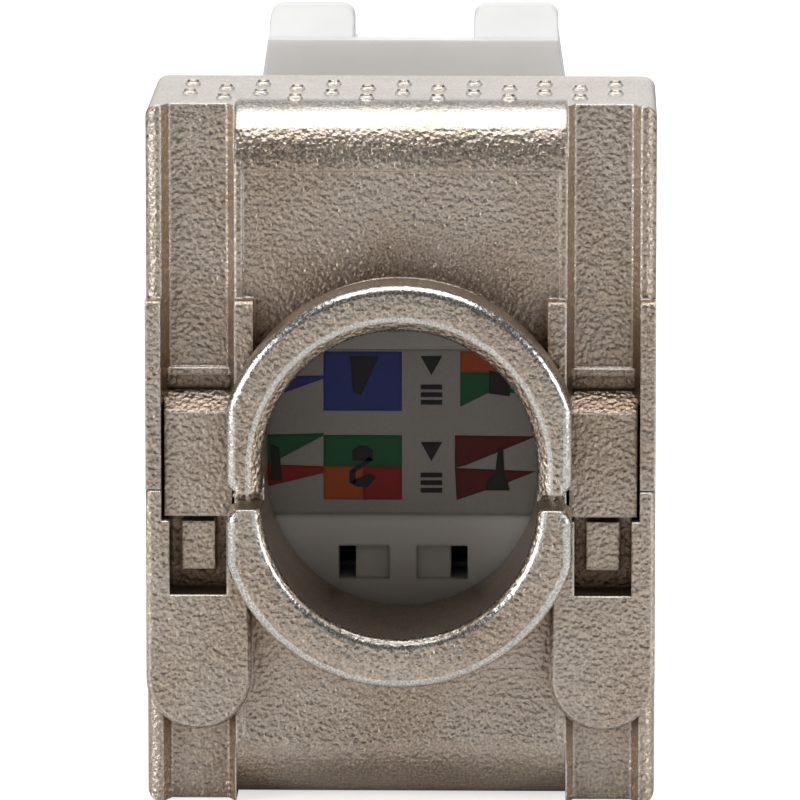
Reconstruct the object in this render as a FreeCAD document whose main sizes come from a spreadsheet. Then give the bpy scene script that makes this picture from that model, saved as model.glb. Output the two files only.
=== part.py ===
import FreeCAD, Part
import math
import os

import Sketcher
from FreeCAD import Vector

# A shielded tool-less keystone jack: a zinc housing with a modular port, two hinged wings that
# close round the cable, and the plastic pieces inside.  +Y points out of the port, -Y at the
# cable, +Z at the panel latch.  The origin is the middle of the bottom.  Sizes are millimetres.

SIZES = {
    # overall form
    "overall_length": 36.0, "body_width": 16.3, "wing_height": 22.6, "seam_height": 10.3,
    "seam_gap": 0.05, "wing_arm": 14.4,
    # wing shells
    "rear_wall": 1.3, "top_wall": 1.1, "cheek_wall": 0.8, "top_depth": 7.7, "top_step": 2.0,
    "top_lean": 0.4, "lug_lean": 1.0, "roll_radius": 2.0, "plate_end": 3.0, "panel_recess": 0.1,
    "panel_inset": 0.25, "panel_top_drop": 2.1, "edge_round": 0.4,
    # side channels, ribs and lobes
    "channel_rim": 0.5, "channel_width": 2.35, "channel_depth": 0.6, "channel_slope": 0.25,
    "rib_width": 0.6, "rib_top": 16.4, "rib_stand": 0.7, "rib_root": 0.3, "rib_round": 0.15,
    "lobe_reach": 0.5, "lobe_bottom": 2.5, "lobe_chamfer": 0.12,
    "tongue_gap": 0.1, "tongue_end": 9.4, "tongue_stand": 0.3,
    "ramp_low": 12.75, "ramp_high": 13.35, "groove_height": 0.5, "groove_depth": 0.3,
    "bead_height": 0.25, "bead_stand": 0.15,
    "window_bottom": 6.9, "window_inset": 0.26, "window_depth": 0.9, "nib_width": 1.05,
    "nib_height": 1.75, "nib_slope": 0.2, "nib_stand": 0.15,
    # cable collar
    "collar_reach": 2.6, "collar_half": 5.475, "collar_flat": 0.3, "mouth_half": 4.38,
    "collar_top": 17.2, "collar_bottom": 4.22, "mouth_top": 15.7, "mouth_bottom": 5.8,
    "collar_gap": 0.5, "collar_gap_height": 10.25, "tunnel_wall": 0.6, "tunnel_reach": 3.4,
    "flange_thickness": 1.75, "neck_inset": 0.15, "mouth_chamfer": 0.4, "sill_chamfer": 0.22,
    "leg_round": 0.42,
    # grip bumps
    "bump_radius": 0.34, "bump_height": 0.16, "bump_pitch": 1.14, "bump_first_row": 1.9,
    "bump_row_pitch": 1.15,
    # hinges
    "pin_radius": 0.75, "pin_offset": 7.65, "pin_seat": 0.02, "pin_running": 0.05,
    "knuckle_radius": 1.5, "pin_end_inset": 0.05,
    # housing
    "housing_bottom": 1.3, "port_height": 16.2, "frame_height": 17.8,
    "frame_front": 1.8, "lip_reach": 4.2, "bay_bottom": 3.6,
    "bay_height": 12.8, "front_wall": 1.5, "housing_chamfer": 0.3,
    "hook_width": 8.0, "hook_lip": 1.8, "panel_gap": 1.9, "panel_setback": 8.0,
    # plug cavity
    "plug_width": 11.9, "plug_height": 6.8, "plug_bottom": 6.6, "carrier_back": 3.5,
    "tab_width": 6.1, "tab_drop": 1.4, "key_width": 3.3, "key_drop": 0.8,
    # inner pieces
    "fit_gap": 0.1, "board_thickness": 1.5, "board_offset": 0.45, "board_seat": 0.05,
    "contact_width": 0.4, "contact_thickness": 0.3, "contact_pitch": 1.02,
    "contact_rise": 1.5, "contact_slot": 0.55, "nose_setback": 3.0, "finger_margin": 2.5,
    "finger_drop": 4.0, "finger_bend": 0.9, "finger_bend_drop": 0.48, "slot_margin": 0.5,
    "spring_height": 3.0, "spring_thickness": 0.15, "spring_margin": 2.3, "spring_bow": 0.5,
    "spring_play": 0.05,
    "block_side_gap": 0.6, "block_height": 10.4, "block_reach": 5.4,
    "blade_width": 1.6, "blade_thickness": 0.4, "blade_length": 8.6, "blade_fork": 0.35,
    "blade_fork_depth": 3.0, "blade_point": 0.32, "blade_near": 1.27, "blade_inset": 1.4,
    "blade_row": 3.1,
    "cap_side_gap": 0.35, "cap_height": 12.5, "cap_gap": 0.4,
    "cap_round": 0.5, "cap_window_width": 1.65, "cap_window_height": 1.1,
    "cap_window_recess": 0.3, "cap_hole_width": 0.55,
    "wire_slot": 1.1, "wire_slot_depth": 1.5, "wire_slot_reach": 3.4, "wire_slot_shift": 0.3,
    "label_width": 11.2, "label_height": 6.07, "label_thickness": 0.15, "label_bottom": 8.73,
    # panel latch
    "latch_root_radius": 0.8, "latch_root_setback": 3.0, "latch_width": 10.6,
    "latch_top_width": 9.9, "latch_arm": 1.0, "latch_rise": 2.4, "latch_tooth_top": 23.17,
    "latch_web_top": 22.27, "latch_tooth_width": 2.9, "latch_tooth_depth": 1.1,
    "latch_slope": 1.6, "latch_tab": 0.9, "latch_tab_rise": 0.5, "latch_tab_lean": 0.3,
    "latch_rib_top": 21.7, "latch_round": 0.45, "latch_running": 0.06,
}

# How far a cut runs past the face it opens, and an added shape into what carries it.
PAST = 1.0
OVERLAP = 0.1
BUMP_ROWS = 4
BUMP_COLUMNS = 13
CONTACTS = 8

doc = FreeCAD.newDocument("keystone_jack")
sheet = doc.addObject("Spreadsheet::Sheet", "Sizes")
for row, (alias, value) in enumerate(SIZES.items(), start=1):
    sheet.set(f"A{row}", alias)
    sheet.set(f"B{row}", str(value))
    sheet.setAlias(f"B{row}", alias)
doc.recompute()


class Dim:
    """A length with its value and the sheet expression that it is bound to."""

    def __init__(self, value, text):
        self.value = value
        self.text = text

    def _join(self, sign, other, value):
        return Dim(value, f"({self.text} {sign} {other.text})")

    def __add__(self, other):
        other = dim(other)
        return self._join("+", other, self.value + other.value)

    def __sub__(self, other):
        other = dim(other)
        return self._join("-", other, self.value - other.value)

    def __mul__(self, other):
        other = dim(other)
        return self._join("*", other, self.value * other.value)

    def __truediv__(self, other):
        other = dim(other)
        return self._join("/", other, self.value / other.value)

    def __neg__(self):
        return Dim(-self.value, f"(0 - {self.text})")


def dim(number):
    """A plain number as a Dim."""
    return number if isinstance(number, Dim) else Dim(float(number), f"{float(number):g}")


def size(alias):
    """The named size from the sheet."""
    return Dim(SIZES[alias], f"Sizes.{alias}")


def crown(half, flat):
    """The height of an arc over its chord, for a radius of half the chord and the flat."""
    radius = half + flat
    root = math.sqrt(radius.value ** 2 - half.value ** 2)
    return radius - Dim(root, f"sqrt({radius.text}^2 - {half.text}^2)")


ZERO = dim(0)
FAR = size("overall_length")

# Reference planes that the pieces share.
rear = -(size("overall_length") / 2)
front = size("overall_length") / 2
face = rear + size("collar_reach")
side = size("body_width") / 2
cheek_inner = side - size("cheek_wall")
wing_top = size("wing_height")
seam_low = size("seam_height") - size("seam_gap") / 2
seam_high = size("seam_height") + size("seam_gap") / 2
pin_y = face + size("wing_arm")
upper_pin_z = size("collar_gap_height") + size("pin_offset")
lower_pin_z = size("collar_gap_height") - size("pin_offset")
lug_y = pin_y - size("plate_end")
wall_front = face + size("rear_wall")
cheek_front = pin_y + size("knuckle_radius") + PAST
port_half = cheek_inner - size("fit_gap")
plug_half = size("plug_width") / 2
bay_half = (port_half + plug_half) / 2
channel_floor = face + size("channel_depth")
channel_outer = side - size("channel_rim")
channel_inner = channel_outer - size("channel_width")
panel_half = channel_inner - size("panel_inset")
port_top = size("housing_bottom") + size("port_height")
frame_top = size("housing_bottom") + size("frame_height")
bay_top = size("bay_bottom") + size("bay_height")
bay_front = front - size("front_wall")
plug_top = size("plug_bottom") + size("plug_height")
board_rear = pin_y + size("board_offset")
board_front = board_rear + size("board_thickness")
carrier_rear = board_front + size("board_seat")
plug_end = carrier_rear + size("carrier_back")
block_half = bay_half - size("block_side_gap")
cap_half = port_half - size("cap_side_gap")
blade_far = block_half - size("blade_inset")
spring_rear = plug_end + size("spring_margin")
spring_front = bay_front - size("fit_gap") * 2
spring_seat = (plug_half + bay_half - size("fit_gap")) / 2
cap_rear = face + size("tunnel_reach") + size("cap_gap")
cap_front = pin_y - size("lip_reach") - size("fit_gap")
middle = size("collar_gap_height")

PLANES = {"XY": ("XY_Plane", 1), "XZ": ("XZ_Plane", -1), "YZ": ("YZ_Plane", 1)}


def origin_feature(body, role):
    """The body's own origin plane or axis with this role."""
    return next(item for item in body.Origin.OriginFeatures if item.Role == role)


def new_body(label):
    """An empty body whose label is its node's name."""
    body = doc.addObject("PartDesign::Body", label)
    body.Label = label
    return body


def bind(sketch, kind, geometry, point, value):
    """Holds a point's X or Y place in a sketch to a Dim."""
    index = sketch.addConstraint(Sketcher.Constraint(kind, -1, 1, geometry, point, value.value))
    name = f"place{index}"
    sketch.renameConstraint(index, name)
    sketch.setExpression(f"Constraints.{name}", value.text)


def polygon(sketch, corners):
    """A closed outline of straight lines through the corners."""
    first = sketch.GeometryCount
    count = len(corners)
    points = [Vector(x.value, y.value, 0) for x, y in corners]
    for number in range(count):
        sketch.addGeometry(Part.LineSegment(points[number], points[(number + 1) % count]))
    for number in range(count):
        following = first + (number + 1) % count
        sketch.addConstraint(Sketcher.Constraint("Coincident", first + number, 2, following, 1))
    for number, (x, y) in enumerate(corners):
        bind(sketch, "DistanceX", first + number, 1, x)
        bind(sketch, "DistanceY", first + number, 1, y)


def rectangle(sketch, x_low, x_high, y_low, y_high):
    """A closed rectangle."""
    polygon(sketch, [(x_low, y_low), (x_high, y_low), (x_high, y_high), (x_low, y_high)])


def both_sides(sketch, corners):
    """The outline and its mirror image across the sketch's Y axis."""
    polygon(sketch, corners)
    polygon(sketch, [(-x, y) for x, y in reversed(corners)])


def circle(sketch, x, y, radius):
    """A circle at a bound place."""
    index = sketch.addGeometry(Part.Circle(Vector(x.value, y.value, 0), Vector(0, 0, 1), radius.value))
    bind(sketch, "DistanceX", index, 3, x)
    bind(sketch, "DistanceY", index, 3, y)
    bind_radius(sketch, index, radius)


def bind_radius(sketch, geometry, radius):
    """Holds an arc's or circle's radius to a Dim."""
    index = sketch.addConstraint(Sketcher.Constraint("Radius", geometry, radius.value))
    sketch.renameConstraint(index, f"radius{index}")
    sketch.setExpression(f"Constraints.radius{index}", radius.text)


def arch(sketch, x, top, half, flat, foot, upward=True):
    """An arch over (x, top) with straight legs to the foot; a flat above 0 widens its radius."""
    sign = 1 if upward else -1
    radius = half + flat
    spring = top - crown(half, flat) * sign
    centre = top - radius * sign
    lean = math.acos(half.value / radius.value)
    start, stop = (lean, math.pi - lean) if upward else (math.pi + lean, math.tau - lean)
    turn = Part.Circle(Vector(x.value, centre.value, 0), Vector(0, 0, 1), radius.value)
    arc = sketch.addGeometry(Part.ArcOfCircle(turn, start, stop))
    reach = half.value * sign
    ends = [Vector(x.value - reach, spring.value, 0), Vector(x.value - reach, foot.value, 0),
            Vector(x.value + reach, foot.value, 0), Vector(x.value + reach, spring.value, 0)]
    legs = [sketch.addGeometry(Part.LineSegment(ends[n], ends[n + 1])) for n in range(3)]
    chain = [arc] + legs
    for number, geometry in enumerate(chain):
        following = chain[(number + 1) % len(chain)]
        sketch.addConstraint(Sketcher.Constraint("Coincident", geometry, 2, following, 1))
    sketch.addConstraint(Sketcher.Constraint("Vertical", legs[0]))
    sketch.addConstraint(Sketcher.Constraint("Horizontal", legs[1]))
    sketch.addConstraint(Sketcher.Constraint("Vertical", legs[2]))
    bind(sketch, "DistanceX", arc, 3, x)
    bind(sketch, "DistanceY", arc, 3, centre)
    bind(sketch, "DistanceY", arc, 1, spring)
    bind(sketch, "DistanceY", arc, 2, spring)
    bind(sketch, "DistanceY", legs[1], 1, foot)
    bind_radius(sketch, arc, radius)


def prism(body, name, plane, low, high, draw, cut=False):
    """Adds or cuts the outline that draw makes, between two places along the plane's normal."""
    role, sign = PLANES[plane]
    if sign < 0:
        low, high = -high, -low
    sketch = body.newObject("Sketcher::SketchObject", f"{name}_outline")
    sketch.AttachmentSupport = (origin_feature(body, role), [""])
    sketch.MapMode = "FlatFace"
    offset = high if cut else low
    sketch.AttachmentOffset = FreeCAD.Placement(Vector(0, 0, offset.value), FreeCAD.Rotation())
    sketch.setExpression("AttachmentOffset.Base.z", offset.text)
    draw(sketch)
    feature = body.newObject("PartDesign::Pocket" if cut else "PartDesign::Pad", name)
    feature.Profile = sketch
    length = high - low
    feature.Length = length.value
    feature.setExpression("Length", length.text)
    doc.recompute()
    return feature


def edge_names(feature, test):
    """Names of the feature's edges whose ends and middle all pass the test."""
    names = []
    for number, edge in enumerate(feature.Shape.Edges, start=1):
        points = [vertex.Point for vertex in edge.Vertexes] + [edge.CenterOfMass]
        if all(test(point) for point in points):
            names.append(f"Edge{number}")
    return names


def dress(body, name, kind, edges, amount):
    """Rounds or chamfers edges of the body's last feature."""
    feature = body.newObject(f"PartDesign::{kind}", name)
    feature.Base = (feature.BaseFeature, edges)
    key = "Radius" if kind == "Fillet" else "Size"
    setattr(feature, key, amount.value)
    feature.setExpression(key, amount.text)
    doc.recompute()
    return feature


def near(number, target):
    """True where two places agree."""
    return abs(number - target.value) < 1e-4


# Wings ------------------------------------------------------------------------------------


def wing_shell(label, upper):
    """A hollow wing: rear wall, outer plate, two cheeks and the hinge knuckles."""
    body = new_body(label)
    pin_z = upper_pin_z if upper else lower_pin_z
    knuckle = size("knuckle_radius") if upper else -size("knuckle_radius")
    if upper:
        outline = [(face, seam_high), (face, wing_top), (face + size("top_depth"), wing_top),
                   (face + size("top_depth") + size("top_lean"), wing_top - size("top_step")),
                   (pin_y, pin_z + knuckle), (pin_y, pin_z - knuckle), (lug_y - size("lug_lean"), seam_high)]
        plate_front = wing_top - size("top_step") - size("top_wall")
        step = face + size("top_depth") - size("top_wall")
        hollow = [(wall_front, ZERO), (wall_front, wing_top - size("top_wall")),
                  (step, wing_top - size("top_wall")), (step + size("top_lean"), plate_front),
                  (lug_y, frame_top + size("fit_gap") * 2), (lug_y, FAR), (cheek_front, FAR),
                  (cheek_front, ZERO)]
    else:
        outline = [(face, seam_low), (face, ZERO), (lug_y, ZERO), (pin_y, pin_z + knuckle),
                   (pin_y, pin_z - knuckle), (lug_y - size("lug_lean"), seam_low)]
        hollow = [(wall_front, FAR), (wall_front, size("top_wall")), (lug_y, size("top_wall")),
                  (lug_y, -FAR), (cheek_front, -FAR), (cheek_front, FAR)]
    prism(body, "shell", "YZ", -side, side, lambda sketch: polygon(sketch, outline))
    outer_z = wing_top if upper else ZERO

    def outer_corner(p):
        return near(abs(p.x), side) and (near(p.y, face) or near(p.z, outer_z))

    corner = edge_names(body.Tip, outer_corner)
    dress(body, "corner_round", "Fillet", corner, size("edge_round"))
    prism(body, "knuckles", "YZ", -side, side,
          lambda sketch: circle(sketch, pin_y, pin_z, size("knuckle_radius")))
    prism(body, "hollow", "YZ", -cheek_inner, cheek_inner, lambda sketch: polygon(sketch, hollow), cut=True)
    return body


def roll_edge(body, upper):
    """Rolls the middle of the rear edge over a large radius."""
    radius = size("roll_radius")
    height = wing_top if upper else ZERO
    inward = -radius if upper else radius
    beyond = height + PAST if upper else height - PAST

    def draw(sketch):
        centre = Vector((face + radius).value, (height + inward).value, 0)
        turn = Part.Circle(centre, Vector(0, 0, 1), radius.value)
        start = math.pi / 2 if upper else math.pi
        arc = sketch.addGeometry(Part.ArcOfCircle(turn, start, start + math.pi / 2))
        low, high = (1, 2) if upper else (2, 1)
        points = [(face + radius, height), (face + radius, beyond), (face - PAST, beyond),
                  (face - PAST, height + inward), (face, height + inward)]
        places = [Vector(x.value, y.value, 0) for x, y in points]
        lines = [sketch.addGeometry(Part.LineSegment(places[n], places[n + 1])) for n in range(4)]
        for number in range(3):
            sketch.addConstraint(
                Sketcher.Constraint("Coincident", lines[number], 2, lines[number + 1], 1))
        sketch.addConstraint(Sketcher.Constraint("Coincident", arc, low, lines[0], 1))
        sketch.addConstraint(Sketcher.Constraint("Coincident", lines[3], 2, arc, high))
        for line, (x, y) in zip(lines, points):
            bind(sketch, "DistanceX", line, 1, x)
            bind(sketch, "DistanceY", line, 1, y)
        bind(sketch, "DistanceX", lines[3], 2, face)
        bind(sketch, "DistanceY", lines[3], 2, height + inward)
        bind_radius(sketch, arc, radius)

    prism(body, "roll", "YZ", -channel_inner, channel_inner, draw, cut=True)


def channels(body, low, high):
    """Cuts the two side channels with sloping walls into the rear wall."""
    floor_inner = channel_inner + size("channel_slope")
    floor_outer = channel_outer - size("channel_slope")
    outline = [(channel_inner, face - PAST), (channel_outer, face - PAST), (channel_outer, face),
               (floor_outer, channel_floor), (floor_inner, channel_floor), (channel_inner, face)]
    prism(body, "channels", "XY", low, high, lambda sketch: both_sides(sketch, outline), cut=True)


def collar(body, upper):
    """Half of the oval cable collar, with its tunnel inside the wing."""
    half, flat = size("collar_half"), size("collar_flat")
    mouth_half = size("mouth_half")
    sign = 1 if upper else -1
    foot = middle + size("collar_gap") / 2 * sign
    outer_top, mouth_top, seam = (
        (size("collar_top"), size("mouth_top"), seam_high) if upper else
        (size("collar_bottom"), size("mouth_bottom"), seam_low))
    wall = size("tunnel_wall")
    tunnel_end = face + size("tunnel_reach")
    root = face + size("rear_wall") / 2
    tunnel_top, tunnel_half = mouth_top + wall * sign, mouth_half + wall
    prism(body, "tunnel", "XZ", root, tunnel_end,
          lambda sketch: arch(sketch, ZERO, tunnel_top, tunnel_half, ZERO, seam, upper))
    inset = size("neck_inset") * sign
    neck_half = half - size("neck_inset")
    flange_front = rear + size("flange_thickness")
    prism(body, "neck", "XZ", flange_front, root,
          lambda sketch: arch(sketch, ZERO, outer_top - inset, neck_half, flat, foot + inset, upper))
    prism(body, "flange", "XZ", rear, flange_front,
          lambda sketch: arch(sketch, ZERO, outer_top, half, flat, foot, upper))
    corners = edge_names(body.Tip, lambda p: near(p.z, foot) and near(abs(p.x), half))
    dress(body, "leg_outer_round", "Fillet", corners, size("leg_round"))
    past_foot = foot - PAST * sign
    prism(body, "mouth", "XZ", rear - PAST, tunnel_end + PAST,
          lambda sketch: arch(sketch, ZERO, mouth_top, mouth_half, ZERO, past_foot, upper), cut=True)
    limit = mouth_half.value + 1e-3

    def on_mouth(p):
        above_foot = (p.z - foot.value) * sign > 1e-3
        inside_crown = (p.z - mouth_top.value) * sign < 1e-3
        return near(p.y, rear) and abs(p.x) < limit and above_foot and inside_crown

    chamfer = size("mouth_chamfer") if upper else size("sill_chamfer")
    dress(body, "mouth_chamfer", "Chamfer", edges_through(body, on_mouth), chamfer)


def edges_through(body, test):
    """Names of the last feature's edges whose middle passes the test."""
    names = []
    for number, edge in enumerate(body.Tip.Shape.Edges, start=1):
        middle_point = edge.valueAt((edge.FirstParameter + edge.LastParameter) / 2)
        if test(middle_point):
            names.append(f"Edge{number}")
    return names


def bumps(body):
    """Four staggered rows of small grip bumps on the wing's top."""
    radius = size("bump_radius")
    pitch = size("bump_pitch")
    for line in range(BUMP_ROWS):
        staggered = line % 2 == 0
        count = BUMP_COLUMNS // 2 + (0 if staggered else 1)
        reach = pitch * (count - 1)
        stud = body.newObject("PartDesign::AdditiveCone", f"bump_{line + 1}")
        stud.AttachmentSupport = (origin_feature(body, "XY_Plane"), [""])
        stud.MapMode = "FlatFace"
        for name, amount in (("Radius1", radius), ("Radius2", radius / 2),
                             ("Height", size("bump_height") * 2)):
            setattr(stud, name, amount.value)
            stud.setExpression(name, amount.text)
        place = (-reach, face + size("bump_first_row") + size("bump_row_pitch") * line,
                 wing_top - size("bump_height"))
        for axis, part in zip("xyz", place):
            stud.setExpression(f"AttachmentOffset.Base.{axis}", part.text)
        doc.recompute()
        pattern = body.newObject("PartDesign::LinearPattern", f"bump_row_{line + 1}")
        pattern.Originals = [stud]
        pattern.Direction = (origin_feature(body, "X_Axis"), [""])
        pattern.Length = (reach * 2).value
        pattern.setExpression("Length", (reach * 2).text)
        pattern.Occurrences = count
        body.Tip = pattern
        doc.recompute()


def pin_holes(body, pin_z):
    """Bores both cheeks for the hinge pin."""
    prism(body, "pin_holes", "YZ", -side - PAST, side + PAST,
          lambda sketch: circle(sketch, pin_y, pin_z, size("pin_radius") + size("pin_running")), cut=True)


def make_upper_wing():
    """The upper wing with its tongues, ribs, bumps and half of the collar."""
    body = wing_shell("upper_wing", True)
    roll_edge(body, True)
    channels(body, ZERO, wing_top + PAST)
    panel_top = wing_top - size("panel_top_drop")
    prism(body, "panel", "XZ", face - PAST, face + size("panel_recess"),
          lambda sketch: rectangle(sketch, -panel_half, panel_half, ZERO, panel_top), cut=True)
    groove = size("ramp_high") + size("groove_height")
    groove_floor = channel_floor + size("groove_depth")
    tongue_face = face - size("tongue_stand")
    tongue = [(wall_front, size("tongue_end")), (tongue_face, size("tongue_end")),
              (tongue_face, size("ramp_low")), (channel_floor, size("ramp_high")),
              (wall_front, size("ramp_high"))]
    bead_face, bead_top = channel_floor - size("bead_stand"), groove + size("bead_height")
    bead = [(channel_floor + OVERLAP, groove), (bead_face, groove), (bead_face, bead_top),
            (channel_floor + OVERLAP, bead_top)]
    tongue_inner = channel_inner + size("tongue_gap")
    tongue_outer = channel_outer - size("tongue_gap")
    for name, low, high in (("left", -tongue_outer, -tongue_inner), ("right", tongue_inner, tongue_outer)):
        prism(body, f"{name}_groove", "YZ", low, high,
              lambda sketch: rectangle(sketch, bead_face, groove_floor, size("ramp_high"), groove), cut=True)
        prism(body, f"{name}_tongue", "YZ", low, high, lambda sketch: polygon(sketch, tongue))
        prism(body, f"{name}_bead", "YZ", low, high, lambda sketch: polygon(sketch, bead))
    rib_inner = channel_inner - size("rib_width")
    rib_face = face - size("rib_stand")

    def ribs(sketch):
        for low, high in ((rib_inner, channel_inner), (channel_outer, side)):
            both_sides(sketch, [(low, seam_high), (high, seam_high), (high, size("rib_top")),
                                (low, size("rib_top"))])

    prism(body, "ribs", "XZ", rib_face, face + size("rib_root"), ribs)
    crests = edge_names(body.Tip, lambda p: near(p.y, rib_face) and near(p.z, size("rib_top")))
    dress(body, "rib_round", "Fillet", crests, size("rib_round"))
    collar(body, True)
    bumps(body)
    pin_holes(body, upper_pin_z)
    return body


def make_lower_wing():
    """The lower wing with its lobes, latch windows, nibs and half of the collar."""
    body = wing_shell("lower_wing", False)
    roll_edge(body, False)
    channels(body, -dim(PAST), seam_low + PAST)
    prism(body, "panel", "XZ", face - PAST, face + size("panel_recess"),
          lambda sketch: rectangle(sketch, -panel_half, panel_half, size("roll_radius"), seam_high),
          cut=True)
    lobe_inner = channel_inner - size("lobe_reach")
    lobe_radius = (side - lobe_inner) / 2
    lobe_x = (side + lobe_inner) / 2
    lobe_face = face - size("rib_stand")

    def lobes(sketch):
        for x in (lobe_x, -lobe_x):
            arch(sketch, x, size("lobe_bottom"), lobe_radius, ZERO, seam_low, upward=False)

    prism(body, "lobes", "XZ", lobe_face, channel_floor + OVERLAP, lobes)

    def lobe_edge(p):
        return near(p.y, lobe_face) and p.z < seam_low.value - 1e-3

    dress(body, "lobe_chamfer", "Chamfer", edges_through(body, lobe_edge), size("lobe_chamfer"))
    tongue_clear = size("tongue_end") - size("fit_gap")
    slot = [(channel_inner, tongue_clear), (channel_outer, tongue_clear), (channel_outer, seam_high + PAST),
            (channel_inner, seam_high + PAST)]
    prism(body, "tongue_slots", "XZ", rear, wall_front + PAST,
          lambda sketch: both_sides(sketch, slot), cut=True)
    window_inner = channel_inner + size("window_inset")
    window_outer = channel_outer - size("window_inset")
    window_floor = face + size("window_depth")
    window_top = tongue_clear + OVERLAP
    window = [(window_inner, size("window_bottom")), (window_outer, size("window_bottom")),
              (window_outer, window_top), (window_inner, window_top)]
    prism(body, "windows", "XZ", rear, window_floor, lambda sketch: both_sides(sketch, window), cut=True)
    nib_x = (channel_inner + channel_outer) / 2
    nib_half = size("nib_width") / 2
    nib_face, nib_root = face - size("nib_stand"), window_floor + OVERLAP
    nib_top = tongue_clear - size("fit_gap")
    nib_foot = nib_top - size("nib_height")
    nib = [(nib_root, nib_top), (nib_face, nib_top), (nib_face, nib_foot + size("nib_slope")),
           (nib_root, nib_foot)]
    for name, x in (("left", -nib_x), ("right", nib_x)):
        prism(body, f"{name}_nib", "YZ", x - nib_half, x + nib_half, lambda sketch: polygon(sketch, nib))
    collar(body, False)
    pin_holes(body, lower_pin_z)
    return body


# Housing ----------------------------------------------------------------------------------


def plug_outline(sketch, play):
    """The modular plug's outline, stepped at the bottom for its tab."""
    half, tab, key = (size(name) / 2 + play for name in ("plug_width", "tab_width", "key_width"))
    base = size("plug_bottom") - play
    tab_z = base - size("tab_drop")
    key_z = tab_z - size("key_drop")
    polygon(sketch, [(-half, plug_top + play), (-half, base), (-tab, base), (-tab, tab_z), (-key, tab_z),
                     (-key, key_z), (key, key_z), (key, tab_z), (tab, tab_z), (tab, base), (half, base),
                     (half, plug_top + play)])


def make_housing():
    """The zinc housing: hinge frame, port body, keystone hook and latch seat."""
    body = new_body("front_housing")
    bottom = size("housing_bottom")
    prism(body, "frame", "XZ", pin_y - size("lip_reach"), pin_y + size("frame_front"),
          lambda sketch: rectangle(sketch, -port_half, port_half, bottom, frame_top))
    prism(body, "port_body", "XZ", pin_y + size("frame_front") - OVERLAP, front,
          lambda sketch: rectangle(sketch, -port_half, port_half, bottom, port_top))
    rims = edge_names(body.Tip, lambda p: near(p.y, front))
    dress(body, "front_chamfer", "Chamfer", rims, size("housing_chamfer"))
    prism(body, "bay", "XZ", pin_y - size("lip_reach") - PAST, bay_front,
          lambda sketch: rectangle(sketch, -bay_half, bay_half, size("bay_bottom"), bay_top), cut=True)
    prism(body, "port", "XZ", bay_front - OVERLAP, front + PAST,
          lambda sketch: plug_outline(sketch, size("fit_gap")), cut=True)
    panel_rear = front - size("panel_setback") - size("panel_gap")
    panel_front = front - size("panel_setback")
    hook_half = size("hook_width") / 2
    for name, low in (("front_lip", panel_front), ("rear_lip", panel_rear - size("hook_lip"))):
        lip = [(low, bottom + OVERLAP), (low, ZERO), (low + size("hook_lip"), ZERO),
               (low + size("hook_lip"), bottom + OVERLAP)]
        prism(body, name, "YZ", -hook_half, hook_half, lambda sketch, lip=lip: polygon(sketch, lip))
    root_y = front - size("latch_root_setback")
    root_z = port_top + size("latch_root_radius") / 2
    seat_radius = size("latch_root_radius") + size("latch_running")
    prism(body, "latch_seat", "YZ", -port_half, port_half,
          lambda sketch: circle(sketch, root_y, root_z, seat_radius), cut=True)
    for name, pin_z in (("upper_bore", upper_pin_z), ("lower_bore", lower_pin_z)):
        prism(body, name, "YZ", -side, side,
              lambda sketch, pin_z=pin_z: circle(sketch, pin_y, pin_z, size("pin_radius") + size("pin_seat")),
              cut=True)
    return body


def make_latch():
    """The plastic panel latch: a sprung arm on a round root, with two catch teeth."""
    body = new_body("panel_latch")
    root_y = front - size("latch_root_setback")
    root_r = size("latch_root_radius")
    root_z = port_top + root_r / 2
    half = size("latch_width") / 2
    catch_y = front - size("panel_setback") - size("panel_gap")
    arm_top = port_top + size("latch_rise")
    arm = size("latch_arm")
    tooth_rear = catch_y - size("latch_tooth_depth")
    tab_front = tooth_rear - size("latch_slope")
    tab_rear = tab_front - size("latch_tab")
    web, tooth_top = size("latch_web_top"), size("latch_tooth_top")
    profile = [(root_y, root_z + root_r), (catch_y, arm_top), (catch_y, tooth_top), (tooth_rear, tooth_top),
               (tab_front, web), (tab_rear, web), (tab_rear, arm_top + size("latch_tab_rise")),
               (tab_front, arm_top - arm + size("latch_tab_lean")), (catch_y, arm_top - arm),
               (root_y, root_z)]
    prism(body, "arm", "YZ", -half, half, lambda sketch: polygon(sketch, profile))
    prism(body, "root", "YZ", -half, half, lambda sketch: circle(sketch, root_y, root_z, root_r))
    tooth_outer = size("latch_top_width") / 2
    tooth_inner = tooth_outer - size("latch_tooth_width")
    prism(body, "tooth_gap", "XZ", tab_front, catch_y + PAST,
          lambda sketch: rectangle(sketch, -tooth_inner, tooth_inner, arm_top, tooth_top + PAST), cut=True)
    taper = [(half, arm_top), (half + PAST, arm_top), (half + PAST, tooth_top + PAST),
             (tooth_outer, tooth_top + PAST), (tooth_outer, web)]
    prism(body, "side_taper", "XZ", tab_rear - PAST, catch_y + PAST,
          lambda sketch: both_sides(sketch, taper), cut=True)

    def tooth_corner(p):
        return near(p.z, tooth_top) and (near(abs(p.x), tooth_outer) or near(abs(p.x), tooth_inner))

    dress(body, "tooth_round", "Fillet", edge_names(body.Tip, tooth_corner), size("latch_round"))
    rib_rear = front - size("panel_setback")
    rib_top = size("latch_rib_top")
    rib = [(rib_rear, arm_top - arm), (rib_rear, rib_top), (rib_rear + arm, rib_top),
           (rib_rear + arm * 2, root_z + root_r / 2)]
    for name, low in (("left_rib", -tooth_outer), ("right_rib", tooth_inner)):
        prism(body, name, "YZ", low, low + size("latch_tooth_width"), lambda sketch: polygon(sketch, rib))
    return body


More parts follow.
